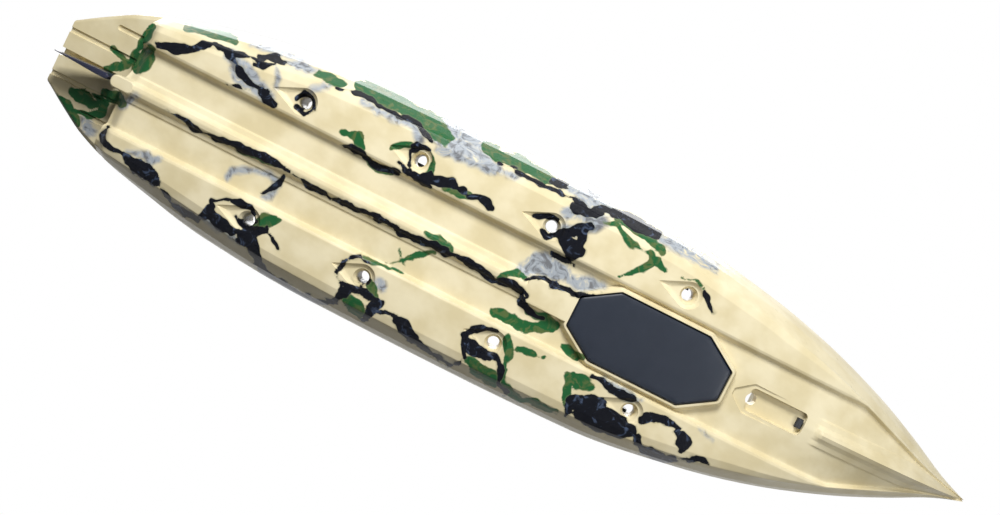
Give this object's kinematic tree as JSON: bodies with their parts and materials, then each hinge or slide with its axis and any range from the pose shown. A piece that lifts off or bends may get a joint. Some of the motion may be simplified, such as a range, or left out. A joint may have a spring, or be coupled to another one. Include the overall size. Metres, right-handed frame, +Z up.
{
  "type": "sit-on-top pedal fishing kayak",
  "caption": "Moulded sit-on-top fishing kayak with a tri-pad hull, scuppers, drive-well insert, steered rudder, frame seat, hatches, tank well and rod holders",
  "frame": {"origin": "middle of the boat's bounding box, on the ground plane that the keel and the outer pads rest on", "axes": "+X towards the bow, +Y to port, +Z up"},
  "size_m": [3.955, 0.9166, 0.7356],
  "materials": {
    "hull_plastic": "glossy rotomoulded polyethylene, sand with navy, green and grey-blue marbling",
    "black_plastic": "satin moulded black plastic",
    "rubber": "soft black rubber",
    "blade_plastic": "dark navy moulded plastic",
    "stainless": "satin stainless steel",
    "dark_alloy": "dark anodised aluminium",
    "seat_fabric": "charcoal woven seat fabric over foam",
    "cord": "black braided elastic cord"
  },
  "bodies": {
    "boat": {"hull": "hull_plastic", "insert_seal": "rubber", "cable_bracket": "black_plastic", "rudder_bush_lower": "black_plastic", "rudder_bush_upper": "black_plastic", "cable_gland": "black_plastic", "steering_cable": "rubber", "lever_base": "black_plastic", "hatch_hinge": "black_plastic", "hatch_hinge_pin": "stainless", "hatch_gasket": "rubber", "round_hatch_ring": "black_plastic", "seat_rail_port": "dark_alloy", "seat_rail_starboard": "dark_alloy", "foot_rail_port": "dark_alloy", "foot_rail_starboard": "dark_alloy", "gear_track_port": "dark_alloy", "gear_track_starboard": "dark_alloy", "rod_holder_port": "black_plastic", "rod_holder_starboard": "black_plastic", "side_handle_bracket_port_aft": "black_plastic", "side_handle_bracket_port_fore": "black_plastic", "side_handle_bracket_starboard_aft": "black_plastic", "side_handle_bracket_starboard_fore": "black_plastic", "bow_handle": "rubber", "stern_handle": "rubber", "pad_eye_1": "stainless", "pad_eye_2": "stainless", "pad_eye_3": "stainless", "pad_eye_4": "stainless", "pad_eye_5": "stainless", "pad_eye_6": "stainless", "bungee_cord": "cord", "drain_plug": "black_plastic"},
    "insert": {"drive_insert": "black_plastic"},
    "bail_aft": {"insert_bail_aft": "stainless"},
    "bail_fore": {"insert_bail_fore": "stainless"},
    "rudder": {"rudder_blade": "blade_plastic", "rudder_stock": "stainless", "tiller_arm": "dark_alloy"},
    "push_rod": {"steering_rod": "stainless"},
    "lever": {"steering_lever": "dark_alloy", "lever_knob": "black_plastic"},
    "bow_lid": {"hatch_lid": "hull_plastic"},
    "latch_port": {"hatch_latch_port": "black_plastic"},
    "latch_starboard": {"hatch_latch_starboard": "black_plastic"},
    "round_lid": {"round_hatch_lid": "black_plastic"},
    "seat": {"seat_frame": "dark_alloy", "seat_cushion": "seat_fabric", "back_pin_port": "stainless", "back_pin_starboard": "stainless"},
    "seat_back": {"back_frame": "dark_alloy", "back_cushion": "seat_fabric"},
    "pedal_port": {"foot_pedal_port": "black_plastic"},
    "pedal_starboard": {"foot_pedal_starboard": "black_plastic"},
    "handle_port": {"side_handle_port": "rubber"},
    "handle_starboard": {"side_handle_starboard": "rubber"}
  },
  "joints": [
    {"name": "rudder_steer", "type": "hinge", "parent": "boat", "child": "rudder", "pos_m": [-1.715, 0, 0.2], "axis": [0, 0, 1], "range_deg": [-30, 30]},
    {"name": "push_rod_slide", "type": "slide", "parent": "boat", "child": "push_rod", "axis": [1, 0, 0], "range_m": [-0.027, 0.027]},
    {"name": "lever_turn", "type": "hinge", "parent": "boat", "child": "lever", "pos_m": [-0.035, 0.372, 0.33], "axis": [0, 0, 1], "range_deg": [-30.5, 30.5]},
    {"name": "insert_lift", "type": "slide", "parent": "boat", "child": "insert", "axis": [0, 0, 1], "range_m": [0, 0.25]},
    {"name": "bail_aft_flip", "type": "hinge", "parent": "insert", "child": "bail_aft", "pos_m": [0.216, 0, 0.1226], "axis": [0, -1, 0], "range_deg": [0, 90]},
    {"name": "bail_fore_flip", "type": "hinge", "parent": "insert", "child": "bail_fore", "pos_m": [0.865, 0, 0.1226], "axis": [0, 1, 0], "range_deg": [0, 90]},
    {"name": "bow_lid_open", "type": "hinge", "parent": "boat", "child": "bow_lid", "pos_m": [1.5, 0, 0.3965], "axis": [0, 1, 0], "range_deg": [0, 110]},
    {"name": "latch_port_turn", "type": "hinge", "parent": "boat", "child": "latch_port", "pos_m": [1.08, 0.08, 0.4], "axis": [0, 0, 1], "range_deg": [0, 90]},
    {"name": "latch_starboard_turn", "type": "hinge", "parent": "boat", "child": "latch_starboard", "pos_m": [1.08, -0.08, 0.4], "axis": [0, 0, -1], "range_deg": [0, 90]},
    {"name": "round_lid_twist", "type": "hinge", "parent": "boat", "child": "round_lid", "pos_m": [0.06, 0, 0.11], "axis": [0, 0, 1], "range_deg": [0, 45]},
    {"name": "seat_slide", "type": "slide", "parent": "boat", "child": "seat", "axis": [1, 0, 0], "range_m": [-0.05, 0.1]},
    {"name": "back_fold", "type": "hinge", "parent": "seat", "child": "seat_back", "pos_m": [-0.588, 0, 0.392], "axis": [0, 1, 0], "range_deg": [-10, 95]},
    {"name": "pedal_port_slide", "type": "slide", "parent": "boat", "child": "pedal_port", "axis": [1, 0, 0], "range_m": [-0.15, 0.15]},
    {"name": "pedal_starboard_slide", "type": "slide", "parent": "boat", "child": "pedal_starboard", "axis": [1, 0, 0], "range_m": [-0.15, 0.15]},
    {"name": "handle_port_flip", "type": "hinge", "parent": "boat", "child": "handle_port", "pos_m": [-0.38, 0.395, 0.335], "axis": [-1, 0, 0], "range_deg": [0, 90]},
    {"name": "handle_starboard_flip", "type": "hinge", "parent": "boat", "child": "handle_starboard", "pos_m": [-0.38, -0.395, 0.335], "axis": [1, 0, 0], "range_deg": [0, 90]}
  ],
  "couplings": [
    {"joint": "push_rod_slide", "follows": "rudder_steer", "m_per_rad": -0.05},
    {"joint": "lever_turn", "follows": "rudder_steer", "ratio": 1}
  ]
}
